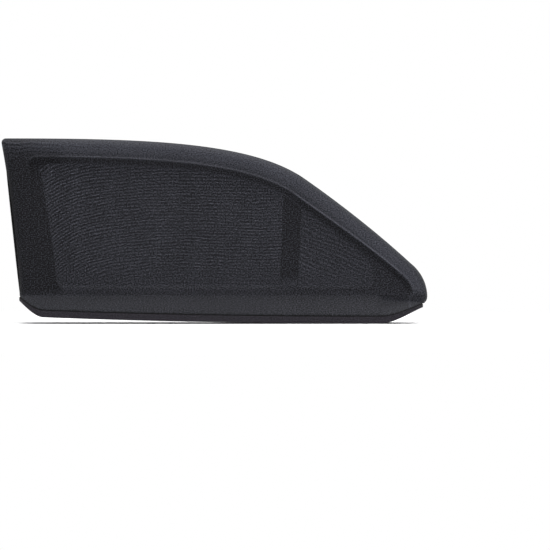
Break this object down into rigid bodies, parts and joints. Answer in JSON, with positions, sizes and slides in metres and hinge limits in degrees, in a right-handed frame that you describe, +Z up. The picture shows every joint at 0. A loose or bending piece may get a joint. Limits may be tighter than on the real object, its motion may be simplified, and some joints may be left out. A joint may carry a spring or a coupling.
{
  "type": "car window sunshade",
  "caption": "Sleeve of dark stretch mesh that slips over the window frame of a car's rear door, with a bound seam round its edge and an open bottom with an elastic hem.",
  "frame": {"origin": "middle of the hem opening in plan, level with the lowest point of the hem", "axes": "+X from the front of the car to its rear, +Y from the cabin side to the street side, +Z up"},
  "size_m": [0.9517, 0.107, 0.4114],
  "materials": {
    "cabin_mesh_panel": "dark charcoal knitted polyester mesh, matte",
    "street_mesh_panel": "dark charcoal knitted polyester mesh, matte",
    "edge_seam_binding": "charcoal polyester binding, matte",
    "hem_casing": "near-black woven polyester hem, matte",
    "hem_elastic": "black flat elastic"
  },
  "bodies": {
    "root": {"cabin_mesh_panel": "cabin_mesh_panel", "street_mesh_panel": "street_mesh_panel", "edge_seam_binding": "edge_seam_binding", "hem_casing": "hem_casing", "hem_elastic": "hem_elastic"}
  },
  "joints": []
}
